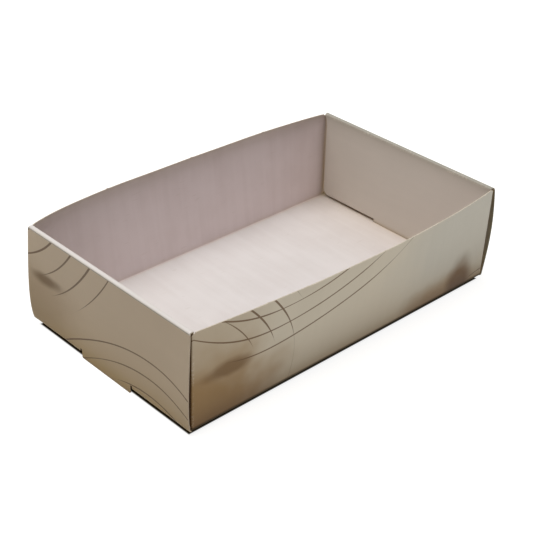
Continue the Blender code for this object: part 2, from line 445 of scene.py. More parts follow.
def wall_shape(side):
    """Raises the top line at each nick, as a bell curve of the distance along the rim, and draws
    all the lines down towards the rounded corners."""

    def shape(x, up):
        rise = sum(np.exp(-(((x - at) / NICK_REACH) ** 2)) for at in RIM_NICKS[side])
        up = np.where(up > TOP_LINE, up + NICK_RISE * rise, up)
        return x, up - corner_drop(x, side) * up / WALL_RISE

    return shape


def wall_x_lines(side):
    """Lines across a wall: at its ends, at the corners' curve and on both slopes of each nick."""
    nicks = [at + stop * NICK_REACH for at in RIM_NICKS[side] for stop in NICK_STOPS]
    ends = both_sides(STEP_AT, *(WALL_END - CORNER_REACH * CORNER_STOPS))
    return lines([*by_edges(-wall_side, wall_side, *NEAR), *ends, *nicks])


# %% Build the walls and the creases at their feet
for side, wall_body in ((-1, "front_wall"), (1, "back_wall")):
    face = wall_face(side)
    x_lines = wall_x_lines(side)
    wall = card_panel(
        wall_body + "_card", face, side,
        x_lines, lines([*by_edges(BASE_FOLD, WALL_RISE, *NEAR), WALL_END_RISE]),
        blank=lambda x, up: (x, side * (HALF_WIDTH + up), 0.0),
        printed=lambda x, up: (-side * x, up, WALL_KIND),
        left_out=lambda x, up: (np.abs(x) > STEP_AT) & (up > WALL_END_RISE),
        shape=wall_shape(side),
    )
    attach(wall, wall_body)
    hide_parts(wall_body)

    along = np.concatenate([[-wall_side - FOLD_PAST], x_lines, [wall_side + FOLD_PAST]])
    flat, up = side * base_side + 0 * along, BASE_FOLD + 0 * along
    fold = crease(
        wall_body + "_crease",
        with_normals(base_face, along, flat, 1),
        with_normals(face, along, up, side),
        line_at(along, side * HALF_WIDTH, FOOT, along),
        blanks=((along, flat, 0.0), (along, side * (HALF_WIDTH + up), 0.0)),
        prints=((-side * along, -up, WALL_KIND), (-side * along, up, WALL_KIND)),
    )
    print(wall_body, len(wall.data.polygons), "faces, crease", len(fold.data.polygons))

# %% Build the corner flaps and their creases
FLAP_LENGTH, FLAP_LOW, FLAP_HIGH, FLAP_RADIUS = 24 * MM, 1.4 * MM, 43.3 * MM, 4 * MM
FLAP_TOP_SLOPE, FOLD_LOW = 0.052, 0.9 * MM
ROOT_HIGH, ROOT_SIDE, ROOT_FADE = 59.7 * MM, 1.1 * MM, 1.4 * MM
FLAP_CORNER = FLAP_RADIUS * ROUND_STOPS
root_stops = ROOT_SIDE + ROOT_FADE * np.linspace(0, 1, 6)
flap_lines = lines([FLAP_FOLD, *root_stops, *(FLAP_LENGTH - FLAP_CORNER)], 3 * MM)
share_lines = lines([*FLAP_CORNER, *(FLAP_HIGH - FLAP_CORNER)])


def flap_face(end, side):
    """A flap, b from its crease and share from its lower edge, which climbs at 45 degrees. Its top
    comes down from the full height of the fold within a millimetre or two of it."""

    def face(b, share):
        fade = np.clip((b - ROOT_SIDE) / ROOT_FADE, 0, 1)
        root = (ROOT_HIGH - FLAP_HIGH) * (1 - fade * fade * (3 - 2 * fade))
        low, high = FLAP_LOW + b, FLAP_HIGH - FLAP_TOP_SLOPE * b + root
        up = low + (high - low) * share / FLAP_HIGH
        return np.stack([end * (WALL_END + 0 * b), side * (HALF_WIDTH - b), FOOT + up], -1)

    return face


def flap_shape(b, share):
    """Rounds the two far corners of the flap."""
    for corner, turn in ((FLAP_HIGH, 1), (0, -1)):
        b, share = rounded(b, share, (FLAP_LENGTH, corner), (1, turn), FLAP_RADIUS)
    return b, share


for end, hand in ((-1, "left"), (1, "right")):
    for side, place in ((-1, "front"), (1, "back")):
        body = f"{place}_{hand}_flap"
        face = flap_face(end, side)
        flap = card_panel(
            body + "_card", face, end * side, flap_lines, share_lines,
            blank=lambda b, up: (end * (WALL_END + b), side * (HALF_WIDTH + up), 0.0),
            printed=lambda b, up: (0.0, up, PLAIN_KIND),
            shape=flap_shape,
        )
        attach(flap, body)
        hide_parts(body)

        drop = corner_drop(wall_side, side) / WALL_RISE
        up = lines([FOLD_LOW, WALL_END_RISE]) * (1 - drop)
        flap_up = FLAP_LOW + (up - up[0]) * (ROOT_HIGH - FLAP_LOW) / (up[-1] - up[0])
        wall = wall_face(side)
        x, on_sheet = np.full_like(up, end * wall_side), side * (HALF_WIDTH + up)
        flap_edge = line_at(end * WALL_END, side * (HALF_WIDTH - FLAP_FOLD), FOOT + flap_up, up)
        corner = line_at(end * WALL_END, side * HALF_WIDTH, FOOT + (up + flap_up) / 2, up)
        fold = crease(
            body + "_crease",
            with_normals(wall, x, up, side),
            (flap_edge, np.broadcast_to([-end, 0.0, 0.0], flap_edge.shape)),
            corner,
            blanks=((x, on_sheet, 0.0), (end * (WALL_END + FLAP_FOLD), on_sheet, 0.0)),
            prints=((-side * x, up, WALL_KIND), (-side * end * WALL_END, up, WALL_KIND)),
        )
print("flaps: 4, each", len(flap.data.polygons), "faces")

# %% [markdown]
# ## The rolled ends
#
# Each end is one strip of the sheet that goes up outside, over a narrow rim and down again
# inside. The outer ply keeps a foot between two nicks, the inner ply ends in a tongue in the slot
# behind that foot, and three creases join them. The same functions serve both ends.

# %% Outlines of the end's plies
FOOT_RADIUS, TONGUE_RADIUS, INNER_RADIUS = 0.9 * MM, 0.3 * MM, 4 * MM
ROLL_FOLD = 1.0 * MM
ROLL_REACH, ROLL_NARROWS = 4.5 * MM, 0.007
INNER_REACH, INNER_WIDENS = 5 * MM, 0.034
top_edge = HEIGHT - ROLL_FOLD


def narrowed(y, up):
    """Draws the sheet in at its sides towards the rim, so that the roll's ends are rounded."""
    share = np.clip((up - HEIGHT + ROLL_REACH) / ROLL_REACH, 0, 1)
    return y * (1 - ROLL_NARROWS * (1 - np.sqrt(1 - share**2)))


def widened(y, down):
    """Draws the inner ply out to the walls at its top, where it is still as wide as the roll."""
    share = np.clip(down / INNER_REACH, 0, 1)
    return y * (1 + INNER_WIDENS * (1 - share * share * (3 - 2 * share)))


def outer_outline(middle):
    """What is left out of the outer ply round its foot, and the slide of its outline."""

    def cut(y, up):
        y = np.abs(y - middle)
        beside = (y > NICK_SIDE) & (up < BASE_FOLD)
        nick = (y > FOOT_SIDE) & (y < NICK_SIDE) & (up < NICK_UP)
        return beside | nick

    def shape(y, up):
        for sign in (-1, 1):
            y, up = rounded(y, up, (middle + sign * FOOT_SIDE, -FOOT), (sign, -1), FOOT_RADIUS)
        return narrowed(y, up), up

    return cut, shape


def inner_outline(middle):
    """What is left out of the inner ply beside its tongue, and the slide of its outline."""

    def cut(y, down):
        return (np.abs(y - middle) > TONGUE_SIDE) & (down > INNER_DROP)

    def shape(y, down):
        for sign in (-1, 1):
            y, down = rounded(y, down, (sign * INNER_SIDE, INNER_DROP), (sign, 1), INNER_RADIUS)
            tip = (middle + sign * TONGUE_SIDE, TONGUE_DROP)
            y, down = rounded(y, down, tip, (sign, 1), TONGUE_RADIUS)
        return widened(y, down), down

    return cut, shape


# %% Stops of the end's plies
outer_up = lines([
    *(FOOT_RADIUS * ROUND_STOPS - FOOT), BASE_FOLD, *by_edges(NICK_UP, top_edge, *NEAR),
    *(HEIGHT - ROLL_REACH * CORNER_STOPS[:3]),
])
inner_down = lines([
    *by_edges(ROLL_FOLD, INNER_DROP, *NEAR), *(INNER_DROP - INNER_RADIUS * ROUND_STOPS),
    *(TONGUE_DROP - TONGUE_RADIUS * ROUND_STOPS),
])


def end_lines(middle):
    """Lines across an end's plies: the outer ones, and the inner ones."""
    foot = [middle + s for s in both_sides(NICK_SIDE, *(FOOT_SIDE - FOOT_RADIUS * ROUND_STOPS))]
    tongue = [middle + s for s in both_sides(*(TONGUE_SIDE - TONGUE_RADIUS * ROUND_STOPS))]
    corners = both_sides(*(INNER_SIDE - INNER_RADIUS * ROUND_STOPS), INNER_SIDE - NEAR[0])
    return lines([*by_edges(-HALF_WIDTH, HALF_WIDTH, *NEAR), *foot]), lines([*corners, *tongue])


# %% Build both rolled ends
for end, hand in ((-1, "left"), (1, "right")):
    outer, rim, inner = outer_face(end), rim_face(end), inner_face(end)
    on_blank = HALF_LENGTH + HEIGHT
    # The rim's kind, by which the printed face paints a highlight on the left rim and shade on the
    # right one.
    rim_light_kind = RIM_KIND[end]
    middle = -end * OFF_MIDDLE
    end_y, inner_y = end_lines(middle)
    outer_cut, outer_shape = outer_outline(middle)
    inner_cut, inner_shape = inner_outline(middle)
    outer_ply = card_panel(
        hand + "_outer_card", outer, -end, end_y, outer_up,
        blank=lambda y, up: (end * (HALF_LENGTH + up), y, 0.0),
        printed=lambda y, up: (end * y, up, END_KIND),
        left_out=outer_cut, shape=outer_shape,
    )
    rim_strip = card_panel(
        hand + "_rim_card", rim, -end, end_y, lines([ROLL_FOLD, RIM - ROLL_FOLD], 0.25 * MM),
        blank=lambda y, q: (end * (on_blank + q), y, 0.0),
        printed=lambda y, q: (end * y, HEIGHT + q, rim_light_kind),
        shape=lambda y, q: (narrowed(y, HEIGHT), q),
    )
    inner_ply = card_panel(
        hand + "_inner_card", inner, -end, inner_y, inner_down,
        blank=lambda y, down: (end * (on_blank + RIM + down), y, 0.0),
        printed=lambda y, down: (end * y, HEIGHT + RIM + down, INNER_KIND),
        left_out=inner_cut, shape=inner_shape,
    )
    for piece, body in ((outer_ply, "_end_outer"), (rim_strip, "_rim"), (inner_ply, "_end_inner")):
        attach(piece, hand + body)
        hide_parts(hand + body)

    y = end_y
    foot_gap = np.abs((y[1:] + y[:-1]) / 2 - middle) < NICK_SIDE
    x_edge, up_edge = end * base_end + 0 * y, BASE_FOLD + 0 * y
    folds = [crease(
        hand + "_end_crease",
        with_normals(base_face, x_edge, y, 1),
        with_normals(outer, y, up_edge, -end),
        line_at(end * HALF_LENGTH, y, FOOT, y),
        blanks=((x_edge, y, 0.0), (end * (HALF_LENGTH + up_edge), y, 0.0)),
        prints=((end * y, -up_edge, END_KIND), (end * y, up_edge, END_KIND)),
        keep=~foot_gap,
    )]
    top, q_out = top_edge + 0 * y, ROLL_FOLD + 0 * y
    y_low, y_mid, y_high = (narrowed(y, up) for up in (top_edge, HEIGHT - ROLL_FOLD / 4, HEIGHT))
    folds.append(crease(
        hand + "_rim_outer_crease",
        with_normals(outer, y_low, top, -end),
        with_normals(rim, y_high, q_out, -end),
        line_at(end * HALF_LENGTH, y_mid, FOOT + HEIGHT, y),
        blanks=((end * (HALF_LENGTH + top), y, 0.0), (end * (on_blank + q_out), y, 0.0)),
        prints=((end * y, top, INNER_KIND), (end * y, HEIGHT + q_out, rim_light_kind)),
    ))
    y = widened(inner_y, ROLL_FOLD)
    q_in, down = RIM - ROLL_FOLD + 0 * y, ROLL_FOLD + 0 * y
    folds.append(crease(
        hand + "_rim_inner_crease",
        with_normals(rim, y, q_in, -end),
        with_normals(inner, y, down, -end),
        line_at(end * (HALF_LENGTH - RIM), y, FOOT + HEIGHT, y),
        blanks=((end * (on_blank + q_in), y, 0.0), (end * (on_blank + RIM + down), y, 0.0)),
        prints=((end * y, HEIGHT + q_in, rim_light_kind), (end * y, HEIGHT + RIM + down, INNER_KIND)),
    ))
    print(hand, "end:", [len(p.data.polygons) for p in (outer_ply, rim_strip, inner_ply, *folds)])
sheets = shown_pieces()
print("sheets of card:", len(sheets))

# %% [markdown]
# ## Small tools for node trees
#
# A material is a graph, and a graph is easier to read when a node, its values and what feeds it
# are written in one line. One helper sets a plain value on a socket or links another socket to
# it, and all the others are built on it. A math node takes its operation as a word, for numbers
# and for vectors alike.

# %% Node helpers
def feed(tree, socket, value):
    """Sets a socket to a value, or links another socket to it."""
    if isinstance(value, bpy.types.NodeSocket):
        tree.links.new(value, socket)
    else:
        socket.default_value = value


def add(tree, kind, inputs=(), **settings):
    """A node of a kind. inputs maps a socket's name or number to a value or to another socket."""
    node = tree.nodes.new("ShaderNode" + kind)
    for key, value in settings.items():
        setattr(node, key, value)
    for key, value in dict(inputs).items():
        feed(tree, node.inputs[key], value)
    return node


def maths(tree, operation, *values):
    """The result of one sum on numbers or sockets."""
    return add(tree, "Math", dict(enumerate(values)), operation=operation).outputs[0]


def product(tree, first, *others):
    """All the values multiplied together."""
    for other in others:
        first = maths(tree, "MULTIPLY", first, other)
    return first


def ramp(tree, value, start, full):
    """A value spread smoothly from 0 at start to 1 at full, which may be the lower of the two."""
    inputs = {"Value": value, "From Min": start, "From Max": full}
    return add(tree, "MapRange", inputs, interpolation_type="SMOOTHSTEP", clamp=True).outputs[0]


def mixed(tree, factor, first, second, blend="MIX"):
    """One colour laid over another by a factor."""
    node = add(tree, "Mix", data_type="RGBA", blend_type=blend)
    for key, value in (("Factor_Float", factor), ("A_Color", first), ("B_Color", second)):
        socket = next(s for s in node.inputs if s.identifier == key)
        feed(tree, socket, (*value, 1) if isinstance(value, tuple) else value)
    return next(s for s in node.outputs if s.identifier == "Result_Color")


def noise(tree, vector, scale, detail=2.0, roughness=0.5):
    """Soft random clouds between 0 and 1, scale of them to a metre."""
    inputs = {"Vector": vector, "Scale": scale, "Detail": detail, "Roughness": roughness}
    return add(tree, "TexNoise", inputs).outputs["Fac"]


def vector_maths(tree, operation, first, second):
    """The result of one sum on vectors, part by part."""
    return add(tree, "VectorMath", {0: first, 1: second}, operation=operation).outputs[0]


def group(name, inputs, outputs):
    """An empty node group with named sockets, given as (name, type, value) and (name, type)."""
    tree = bpy.data.node_groups.new(name, "ShaderNodeTree")
    for label, kind, value in inputs:
        socket = tree.interface.new_socket(label, in_out="INPUT", socket_type="NodeSocket" + kind)
        if value is not None:
            socket.default_value = value
    for label, kind in outputs:
        tree.interface.new_socket(label, in_out="OUTPUT", socket_type="NodeSocket" + kind)
    return tree, tree.nodes.new("NodeGroupInput").outputs, tree.nodes.new("NodeGroupOutput")


def placed(tree, shared, inputs):
    """The outputs of a node group that is put into a material, with its own values."""
    return add(tree, "Group", inputs, node_tree=shared).outputs


# %% [markdown]
# ## Card fibres
#
# Card is pressed from fibres that lie mostly one way, so its tone is a little cloudy and its
# surface has a fine grain drawn out along that way. All three faces of the card need it, each by
# a different amount, so it is a node group. It reads the place on the flat sheet, so the grain
# runs straight over every fold.

# %% Node group: card fibres
fibres, given, out = group(
    "card_fibres",
    [("Place", "Vector", None), ("Grain size", "Float", 900.0), ("Cloud size", "Float", 34.0)],
    [("Tone", "Float"), ("Height", "Float"), ("Speck", "Float")],
)
along_grain = vector_maths(fibres, "MULTIPLY", given["Place"], (0.22, 1.0, 1.0))
along_streaks = vector_maths(fibres, "MULTIPLY", given["Place"], (1.0, 0.06, 1.0))
cloud = noise(fibres, given["Place"], given["Cloud size"], 3.0, 0.6)
streak = noise(fibres, along_streaks, 160.0, 2.0)
grain = noise(fibres, along_grain, given["Grain size"], 3.0, 0.65)
tone = maths(fibres, "ADD", product(fibres, cloud, 0.6), product(fibres, streak, 0.4))
speck = ramp(fibres, noise(fibres, along_grain, 420.0, 1.0), 0.68, 0.76)
for label, value in (("Tone", tone), ("Height", grain), ("Speck", speck)):
    fibres.links.new(value, out.inputs[label])

# %% [markdown]
# ## Wear at folds and cut edges
#
# Where card is folded or rubbed, its coating cracks and the pale core shows in fine broken lines.
# Each point knows its distance to the nearest fold or cut edge, so the group turns that distance
# into a mask and breaks it up with noise.

# %% Node group: edge wear
wearing, given, out = group(
    "edge_wear",
    [("Place", "Vector", None), ("Distance", "Float", 1.0), ("Reach", "Float", 0.9 * MM)],
    [("Wear", "Float")],
)
how_far = maths(wearing, "DIVIDE", given["Distance"], given["Reach"])
near = ramp(wearing, how_far, 1.0, 0.0)
broken = ramp(wearing, noise(wearing, given["Place"], 700.0, 4.0, 0.7), 0.45, 0.65)
patchy = ramp(wearing, noise(wearing, given["Place"], 60.0, 2.0), 0.35, 0.65)
wearing.links.new(product(wearing, near, broken, patchy), out.inputs["Wear"])

# %% [markdown]
# ## Shade in pockets
#
# Real folded card is dark wherever two sheets nearly touch, since light dies after a bounce or
# two on its warm grey faces. A lamp as soft as this scene's leaves such places too pale, so they
# get painted shade. The group measures how shut in a point is within a few millimetres, and gives
# a mask of painted shade for the deepest ones and another for the painted soft shade in corners.

# %% Node group: pocket shade
pockets, given, out = group(
    "pocket_shade",
    [("Pocket size", "Float", 4.5 * MM), ("Corner size", "Float", 6 * MM)],
    [("Pocket", "Float"), ("Corner", "Float")],
)
for label, start, full in (("Pocket", 0.74, 0.24), ("Corner", 0.95, 0.35)):
    size = given[label + " size"]
    open_share = add(pockets, "AmbientOcclusion", {"Distance": size}, samples=8).outputs["AO"]
    pockets.links.new(ramp(pockets, open_share, start, full), out.inputs[label])

# %% [markdown]
# ## Printed arcs and clouds
#
# The outside is printed in sepia with long thin arcs, like ripples that cross one another, over
# soft clouds of brown. An arc is a narrow band of the distance from a centre, repeated at even
# steps between two radii. Noise decides where it is drawn, and it thins out towards its ends, as
# a brush stroke does. One group makes a family of arcs, another a cloud.

# %% Node group: printed arcs
arcs, given, out = group(
    "printed_arcs",
    [("Place", "Vector", None), ("Centre", "Vector", (0, 0, 0)), ("Step", "Float", 9 * MM),
     ("From", "Float", 30 * MM), ("To", "Float", 70 * MM), ("Width", "Float", 0.8 * MM),
     ("Seed", "Float", 0.0)],
    [("Lines", "Float")],
)
offset = vector_maths(arcs, "SUBTRACT", given["Place"], given["Centre"])
offset = vector_maths(arcs, "MULTIPLY", offset, (1.0, 1.18, 1.0))
distance = add(arcs, "VectorMath", {0: offset}, operation="LENGTH").outputs["Value"]
seeded = add(arcs, "CombineXYZ", {"Z": given["Seed"]}).outputs[0]
moved = vector_maths(arcs, "ADD", given["Place"], seeded)
wander = product(arcs, noise(arcs, moved, 9.0, 0.0), 2.1)
turns = maths(arcs, "ADD", maths(arcs, "DIVIDE", distance, given["Step"]), wander)
from_line = maths(arcs, "ABSOLUTE", maths(arcs, "SUBTRACT", maths(arcs, "FRACT", turns), 0.5))
from_line = product(arcs, from_line, given["Step"])
stroke = ramp(arcs, noise(arcs, moved, 15.0, 0.0), 0.38, 0.60)
begins = ramp(arcs, distance, given["From"], maths(arcs, "ADD", given["From"], 6 * MM))
ends = ramp(arcs, distance, given["To"], maths(arcs, "SUBTRACT", given["To"], 8 * MM))
half = product(arcs, given["Width"], 0.5, stroke, begins, ends)
inked = ramp(arcs, maths(arcs, "SUBTRACT", half, from_line), -0.12 * MM, 0.12 * MM)
strong = ramp(arcs, half, 0.02 * MM, 0.30 * MM)
arcs.links.new(product(arcs, inked, strong), out.inputs["Lines"])

# %% Node group: printed cloud
clouds, given, out = group(
    "printed_cloud",
    [("Place", "Vector", None), ("Centre", "Vector", (0, 0, 0)),
     ("Reach", "Vector", (20 * MM, 10 * MM, 1)), ("Broken", "Float", 0.5)],
    [("Cloud", "Float")],
)
offset = vector_maths(clouds, "SUBTRACT", given["Place"], given["Centre"])
offset = vector_maths(clouds, "DIVIDE", offset, given["Reach"])
far = add(clouds, "VectorMath", {0: offset}, operation="LENGTH").outputs["Value"]
ragged = maths(clouds, "SUBTRACT", noise(clouds, given["Place"], 45.0, 2.0), 0.5)
far = maths(clouds, "MULTIPLY_ADD", ragged, given["Broken"], far)
clouds.links.new(ramp(clouds, far, 1.0, 0.3), out.inputs["Cloud"])

# %% [markdown]
# ## Helpers of the card's three materials
#
# The printed face, the bare face and the cut edge read the same attributes of a sheet, take tints
# in the same way and end in the same shader, so these steps are functions. The painted shade of a
# place between two sheets is nearly black on the coating, and a warm brown on bare board, which is
# paler.

# %% Helpers of the card's materials
# The worn core's colour, and the colours of painted shade in corners and pockets.
CORE, CORNER_SHADE_TINT = (0.80, 0.72, 0.60), (0.70, 0.62, 0.52)
COATED_POCKET_SHADE, BARE_POCKET_SHADE = (0.12, 0.05, 0.010), (0.62, 0.47, 0.27)
CORNER_AMOUNT, POCKET_AMOUNT = 0.35, 0.95


def new_material(name):
    """A material, its tree and shader, and what it reads from a sheet: the place on the flat
    sheet, the three parts of the printed attribute, and the distance for wear."""
    material = bpy.data.materials.new(name)
    material.use_nodes = True
    tree = material.node_tree
    blank, printed, worn = (
        add(tree, "Attribute", attribute_name=label).outputs
        for label in ("blank", "printed", "wear_distance")
    )
    parts = add(tree, "SeparateXYZ", {0: printed["Vector"]}).outputs
    return material, tree, tree.nodes["Principled BSDF"], blank["Vector"], parts, worn["Fac"]


def of_kind(tree, parts, kind, reach=0.3):
    """1 on panels whose kind is within reach of the one given, and 0 on all others."""
    return maths(tree, "COMPARE", parts["Z"], kind, reach)


def fading(tree, distance, reach, where):
    """A shade that dies away with the distance from a line, where a mask lets it."""
    far = product(tree, maths(tree, "MAXIMUM", distance, 0.0), -1 / reach)
    return product(tree, maths(tree, "EXPONENT", far), where)


def tinted(tree, factor, colour, tint):
    """A colour multiplied by a tint, by as much as a factor says."""
    return mixed(tree, factor, colour, mixed(tree, 1.0, colour, tint, "MULTIPLY"))


def shaded(tree, colour, dark=COATED_POCKET_SHADE):
    """A colour with the soft shade of corners and the dark of pockets laid over it."""
    shade = placed(tree, pockets, {})
    corner, pocket = (
        product(tree, shade[label], amount)
        for label, amount in (("Corner", CORNER_AMOUNT), ("Pocket", POCKET_AMOUNT))
    )
    return mixed(tree, pocket, tinted(tree, corner, colour, CORNER_SHADE_TINT), dark)


def finish_face(tree, shader, colour, grain, rough, by_grain, specular, strength, distance):
    """Feeds the shader its colour, a roughness that the grain adds to, and the grain's bump."""
    bump = add(tree, "Bump", {"Height": grain, "Strength": strength, "Distance": distance})
    values = {
        "Base Color": colour, "Roughness": maths(tree, "MULTIPLY_ADD", grain, by_grain, rough),
        "Specular IOR Level": specular, "Normal": bump.outputs["Normal"],
    }
    for label, value in values.items():
        feed(tree, shader.inputs[label], value)


# %% [markdown]
# ## The printed face
#
# The coating is smooth and slightly glossy, greige where it shows outside. Along the foot of each
# wall and outer ply it gets a warm painted shade, nearly black at the walls' creases, and it is
# greyer just under the rims inside. Arcs and clouds lie only on the walls and the outer plies.
# The left rim is painted nearly white as a painted highlight, and the right rim is painted darker
# as painted shade, so each rim has a kind of its own.

# %% Colours and reaches of the printed face
COATED, END_COATED, PLAIN_COATED = (0.655, 0.585, 0.465), (0.67, 0.54, 0.395), (0.60, 0.54, 0.47)
# The left rim's painted highlight, the right rim's painted shade, and the painted shade at the
# walls' creases.
PAINTED_RIM_HIGHLIGHT, PAINTED_RIM_SHADE, CREASE_SHADE_COLOUR = (0.72, 0.675, 0.64), (0.36, 0.335, 0.28), (0.035, 0.025, 0.012)
# Painted shade at the foot of the walls and the outer plies, and the inner plies' tint under the
# rims.
WALL_FOOT_SHADE, END_FOOT_SHADE, PLY_TINT = (0.34, 0.265, 0.175), (0.68, 0.59, 0.37), (0.70, 0.69, 0.65)
FOOT_FADE, PLY_FADE, CREASE_SHADE_UP, CREASE_SHADE_FULL = 15 * MM, 3.2 * MM, 2.8 * MM, 1.0 * MM
INK_AMOUNT, CREASE_SHADE_AMOUNT, WORN_AMOUNT, RIM_SHADE_FADE = 0.85, 0.9, 0.4, 0.15
COAT_ROUGH, WEAR_AND_CREASE_ROUGH = 0.40, 0.4

# %% Material: printed face
card_printed, tree, shader, blank, parts, wear_distance = new_material("card_printed_face")
flat_place = add(tree, "CombineXYZ", {"X": parts["X"], "Y": parts["Y"]}).outputs[0]
card = placed(tree, fibres, {"Place": blank})
on_wall, on_end, on_inner = (
    of_kind(tree, parts, kind) for kind in (WALL_KIND, END_KIND, INNER_KIND)
)
outside = maths(tree, "MAXIMUM", on_wall, on_end)
# A painted highlight on the left rim, and painted shade on the right one.
rim_highlight_mask = ramp(tree, parts["Z"], INNER_KIND, RIM_KIND[-1])
rim_shade_starts = (RIM_KIND[1] - RIM_SHADE_FADE, INNER_KIND)
rim_shade_mask = product(tree, *(ramp(tree, parts["Z"], start, RIM_KIND[1]) for start in rim_shade_starts))
inside_coat = mixed(tree, rim_shade_mask, PLAIN_COATED, PAINTED_RIM_SHADE)
colour = mixed(tree, outside, inside_coat, mixed(tree, on_end, COATED, END_COATED))

# %% Ink of the printed face
SEPIA, DEEP_BROWN = (0.115, 0.055, 0.016), (0.15, 0.075, 0.018)
SOFT_BROWN, COOL_GREY = (0.33, 0.205, 0.085), (0.545, 0.525, 0.46)
# a cloud: its centre and reach in mm, how broken, how strong, its ink
WALL_CLOUDS = [
    ((-112, 42), (56, 44), 0.5, 0.4, SOFT_BROWN), ((-118, 6), (84, 50), 0.5, 1.0, SOFT_BROWN),
    ((-96, 30), (22, 7), 0.9, 0.75, DEEP_BROWN), ((98, 44), (90, 60), 0.3, 0.7, COOL_GREY),
    ((80, 0), (50, 22), 0.7, 0.8, SOFT_BROWN), ((95, 5), (16, 24), 0.5, 1.0, DEEP_BROWN),
]
END_CLOUDS = [
    ((-62, 18), (46, 30), 0.6, 0.35, SOFT_BROWN), ((-54, 34), (20, 6), 0.9, 0.8, DEEP_BROWN),
]
# a family of arcs: its centre, step, first and last radius, and line width, in mm
WALL_ARCS = [
    ((-152, 18), 14, 42, 116, 1.35), ((-58, 146), 13, 88, 146, 1.1), ((132, -44), 14, 52, 96, 0.8),
]
END_ARCS = [((-98, 104), 14, 50, 118, 1.35), ((36, -76), 14, 84, 132, 1.1)]
SEED_STEP = 0.37

for where, cloud_list in ((on_wall, WALL_CLOUDS), (on_end, END_CLOUDS)):
    for (x, up), (wide, high), broken, amount, ink in cloud_list:
        cloud = placed(tree, clouds, {
            "Place": flat_place, "Centre": (x * MM, up * MM, 0),
            "Reach": (wide * MM, high * MM, 1), "Broken": broken,
        })["Cloud"]
        colour = mixed(tree, product(tree, cloud, where, amount), colour, ink)
strokes = 0.0
for where, families in ((on_wall, WALL_ARCS), (on_end, END_ARCS)):
    for seed, ((x, up), step, near, to, width) in enumerate(families):
        family = placed(tree, arcs, {
            "Place": flat_place, "Centre": (x * MM, up * MM, 0), "Step": step * MM,
            "From": near * MM, "To": to * MM, "Width": width * MM, "Seed": SEED_STEP * (seed + 1),
        })["Lines"]
        strokes = maths(tree, "MAXIMUM", strokes, product(tree, family, where))
colour = mixed(tree, product(tree, strokes, INK_AMOUNT), colour, SEPIA)

# %% Painted shades and wear of the printed face
# Painted shade along the foot of the walls and the outer plies, where little light comes up from
# the table.
foot_shade = fading(tree, parts["Y"], FOOT_FADE, outside)
colour = tinted(tree, foot_shade, colour, mixed(tree, on_end, WALL_FOOT_SHADE, END_FOOT_SHADE))
past_rim = maths(tree, "SUBTRACT", parts["Y"], HEIGHT + RIM)
colour = tinted(tree, fading(tree, past_rim, PLY_FADE, on_inner), colour, PLY_TINT)
# Painted shade, nearly black, over the lowest few millimetres of each wall, where its crease turns
# under.
crease_shade_mask = product(tree, ramp(tree, parts["Y"], CREASE_SHADE_UP, CREASE_SHADE_FULL), on_wall)
colour = mixed(tree, product(tree, crease_shade_mask, CREASE_SHADE_AMOUNT), colour, CREASE_SHADE_COLOUR)
# The left rim's painted highlight.
colour = mixed(tree, rim_highlight_mask, colour, PAINTED_RIM_HIGHLIGHT)
shade = maths(tree, "MULTIPLY_ADD", card["Tone"], 0.12, 0.94)
shade = add(tree, "CombineColor", dict.fromkeys(range(3), shade)).outputs[0]
colour = mixed(tree, 1.0, colour, shade, "MULTIPLY")
worn = placed(tree, wearing, {"Place": blank, "Distance": wear_distance})["Wear"]
worn = product(tree, worn, maths(tree, "SUBTRACT", 1.0, crease_shade_mask))
colour = mixed(tree, product(tree, worn, WORN_AMOUNT), colour, CORE)
# Painted shade in corners and pockets.
colour = shaded(tree, colour, mixed(tree, on_inner, COATED_POCKET_SHADE, BARE_POCKET_SHADE))
# The wear and the crease's painted shade both make the coating rougher.
wear_and_crease_shade = maths(tree, "MAXIMUM", worn, crease_shade_mask)
finish_face(
    tree, shader, colour, card["Height"],
    rough=maths(tree, "MULTIPLY_ADD", wear_and_crease_shade, WEAR_AND_CREASE_ROUGH, COAT_ROUGH), by_grain=0.12,
    specular=0.22, strength=0.25, distance=0.03 * MM,
)

# %% [markdown]
# ## The bare face
#
# The inside of the tray is uncoated white board: matt, with a stronger grain and a few darker
# fibres, and its tone is a little uneven in soft clouds. The walls are painted a pinker hue than
# the floor, as painted shade. They are darker just under their rims, and painted shade darkens them
# towards their ends. The floor gets a warmer painted shade where it nears the brown ends, and
# painted shade darkens the sides of the outer plies, which stand open behind the walls' ends.

# %% Material: bare face
BARE_WHITE, BARE_SHADOW, SPECK = (0.76, 0.715, 0.695), (0.68, 0.625, 0.60), (0.50, 0.43, 0.36)
WALL_SHADE_HUE, RIM_TINT, RIM_FADE = (1.04, 0.965, 0.985), (0.56, 0.53, 0.46), 5.8 * MM
END_FADE, FLOOR_SHADE_TINT, FLOOR_FADE = 4.5 * MM, (0.84, 0.78, 0.71), 26 * MM
MARGIN_SHADE_TINT, MARGIN_FROM, MARGIN_FULL = (0.52, 0.48, 0.34), 65.0 * MM, 69.2 * MM
EVENNESS, SPECKED, BARE_WORN = 0.45, 0.12, 0.3

card_bare, tree, shader, blank, parts, wear_distance = new_material("card_bare_face")
card = placed(tree, fibres, {"Place": blank, "Grain size": 650.0, "Cloud size": 26.0})
colour = mixed(tree, ramp(tree, card["Tone"], 0.35, 0.62), BARE_SHADOW, BARE_WHITE)
colour = mixed(tree, EVENNESS, colour, BARE_WHITE)
colour = mixed(tree, product(tree, card["Speck"], SPECKED), colour, SPECK)
on_wall, on_floor = of_kind(tree, parts, WALL_KIND), of_kind(tree, parts, PLAIN_KIND)
# The walls are painted a pinker hue than the floor, as painted shade.
colour = tinted(tree, on_wall, colour, WALL_SHADE_HUE)
across = maths(tree, "ABSOLUTE", parts["X"])
along = maths(tree, "ABSOLUTE", add(tree, "SeparateXYZ", {0: blank}).outputs["X"])
